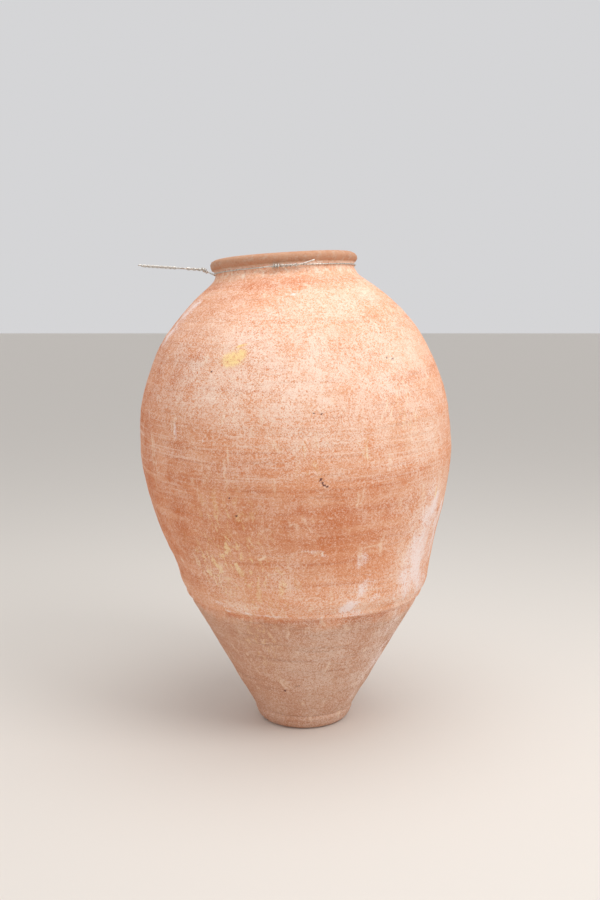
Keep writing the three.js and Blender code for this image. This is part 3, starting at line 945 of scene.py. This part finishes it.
def pigtail_path(end, side):
    knot = np.linspace(*KNOT, 49)
    plain = np.linspace(KNOT[1] + 0.02, EYELET[0], 20)
    eyelet = np.linspace(EYELET[0] + 0.02, EYELET[1] - 0.02, 8)
    far = np.linspace(EYELET[1], end, 70)
    return in_pigtail(np.concatenate([[0.065], knot, plain, eyelet, far]), side)[::-1]


def short_wire_path():
    approach = np.linspace(187, SPLICE_START - 4, 40)
    core = np.linspace(SPLICE_START, WRAPS_END, 6)
    twist = np.linspace(WRAPS_END + 1, TWIST_END, 40)
    tail = np.array([TWIST_END + 3.5, TWIST_END + 7, TAIL_END - 2, TAIL_END])
    outward = np.array([5.5, 6.5, 8.5, 10]) / 1000
    up = np.array([2, 4, 6.5, 8]) / 1000
    return np.vstack([pigtail_path(1, 0), on_neck(approach, stand_off(approach), 0), in_splice(core, 0),
                      in_splice(twist, 0), on_neck(tail, outward, up)])


def long_wire_path():
    back = np.linspace(173, TWIST_END + 4 - 360, 120)
    twist = np.linspace(TWIST_END, WRAPS_END + 1, 40)
    wraps = np.linspace(WRAPS_END, SPLICE_START, 61)
    return np.vstack([pigtail_path(0.96, 1), on_neck(back, stand_off(back + 360), 0), in_splice(twist, 1),
                      in_splice(wraps, 1)])


def tube(path, radius):
    """Rings of points along a path, with a nipped point at each end, and the faces between them."""
    along = np.gradient(path, axis=0)
    along /= np.linalg.norm(along, axis=1)[:, None]
    ends = [path[0] - along[0] * NIPPED_LENGTH, *path, path[-1] + along[-1] * NIPPED_LENGTH]
    headings = [along[0], *along, along[-1]]
    nipped = NIPPED_WIDTH * radius
    widths = [nipped] + [radius] * len(path) + [nipped]
    side = Vector(headings[0]).orthogonal().normalized()
    turn = np.arange(WIRE_SIDES) * 2 * math.pi / WIRE_SIDES
    points = []
    for centre, heading, width in zip(ends, headings, widths):
        forward = Vector(heading)
        side = (side - forward * side.dot(forward)).normalized()
        other = forward.cross(side)
        points.append(centre + width * (np.outer(np.cos(turn), side) + np.outer(np.sin(turn), other)))
    rings = len(points)
    here = np.arange(WIRE_SIDES)
    there = (here + 1) % WIRE_SIDES
    row = np.arange(rings - 1)[:, None] * WIRE_SIDES
    quads = np.stack([row + here, row + there, row + WIRE_SIDES + there, row + WIRE_SIDES + here], -1)
    faces = quads.reshape(-1, 4).tolist()
    faces.append(list(range(WIRE_SIDES))[::-1])
    faces.append(list(range((rings - 1) * WIRE_SIDES, rings * WIRE_SIDES)))
    return np.vstack(points), faces


def tie_wire(node, path, material):
    """A wire with the slight waviness of one that was bent by hand."""
    fine = curve_3d(path)
    fine = fine + WAVINESS * np.stack([noise(fine, 0.009, 91 + k) for k in range(3)], 1)
    points, faces = tube(lean(fine), WIRE_RADIUS)
    wire = new_object(node + "_skin", points, faces, material)
    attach(wire, "neck_tie")
    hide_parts(node)
    return wire


def curve_3d(points):
    """Points about a curve step apart along a path."""
    lengths = np.concatenate([[0], np.cumsum(np.linalg.norm(np.diff(points, axis=0), axis=1))])
    guide = np.vstack([points[0] * 2 - points[1], points, points[-1] * 2 - points[-2]])
    fine = []
    for i in range(len(points) - 1):
        p0, p1, p2, p3 = guide[i: i + 4]
        count = max(1, round((lengths[i + 1] - lengths[i]) / CURVE_STEP))
        for t in np.arange(count) / count:
            fine.append(0.5 * (2 * p1 + (p2 - p0) * t + (2 * p0 - 5 * p1 + 4 * p2 - p3) * t * t
                               + (3 * p1 - p0 - 3 * p2 + p3) * t ** 3))
    fine.append(points[-1])
    return np.array(fine)


# ================================================================ building it
def build_jar():
    body = fired_clay("terracotta_body", low=False)
    base = fired_clay("terracotta_base", low=True)
    for node, outside in outside_surface().items():
        low = node in ("foot_disc", "lower_cone")
        skin = clay_skin(node, outside, base if low else body)


def build_tie():
    steel = weathered_wire("tie_wire")
    tie_wire("neck_wire_short", short_wire_path(), steel)
    tie_wire("neck_wire_long", long_wire_path(), steel)


# ================================================================ stage, light and camera
FLOOR_TONE = tone(226, 220, 212)
FLOOR_REACH = 200.0     # so far that its edge lies on the horizon from every side
SKY_TONE = tone(240, 240, 242)
SKY_STRENGTH = 0.76
JAR_MIDDLE = Vector((-0.01, 0, 0.55))
CAMERA_PLACE = (-0.0086, -2.2, 0.871)
CAMERA_DIP = 6.9        # degrees below level
LENS = 40
SENSOR = 36


def plain_floor():
    s = Shader("floor")
    material = s.finish({"Base Color": FLOOR_TONE, "Roughness": 0.8, "Specular IOR Level": 0.2})
    corners = FLOOR_REACH * np.array([[-1, -1, 0], [1, -1, 0], [1, 1, 0], [-1, 1, 0]], float)
    floor = new_object("floor", corners, [[0, 1, 2, 3]], material)


def soft_light(name, place, size, power, colour):
    lamp = bpy.data.lights.new(name, "AREA")
    lamp.shape = "DISK"
    lamp.size = size
    lamp.energy = power
    lamp.color = colour
    light = bpy.data.objects.new(name, lamp)
    light.location = place
    light.rotation_euler = (JAR_MIDDLE - Vector(place)).to_track_quat("-Z", "Y").to_euler()
    bpy.context.scene.collection.objects.link(light)


def daylight():
    world = bpy.data.worlds.new("world")
    world.use_nodes = True
    sky = world.node_tree.nodes["Background"]
    sky.inputs["Color"].default_value = SKY_TONE
    sky.inputs["Strength"].default_value = SKY_STRENGTH
    bpy.context.scene.world = world
    soft_light("key", (1.7, -1.5, 2.7), 1.6, 32, (1.0, 0.99, 0.99))
    soft_light("overhead", (0.2, -0.4, 3.1), 2.4, 28, (1.0, 1.0, 1.0))
    soft_light("fill", (-2.4, -1.8, 1.2), 1.8, 4, (0.98, 0.98, 1.0))


def photo_camera():
    """At the height and pitch from which the jar is seen, with the whole jar in view."""
    lens = bpy.data.cameras.new("camera")
    lens.lens = LENS
    lens.sensor_width = SENSOR
    camera = bpy.data.objects.new("camera", lens)
    camera.location = CAMERA_PLACE
    camera.rotation_euler = (math.radians(90 - CAMERA_DIP), 0, 0)
    bpy.context.scene.collection.objects.link(camera)
    bpy.context.scene.camera = camera


build_jar()
build_tie()
plain_floor()
daylight()
photo_camera()
bpy.context.scene.view_settings.view_transform = "Standard"
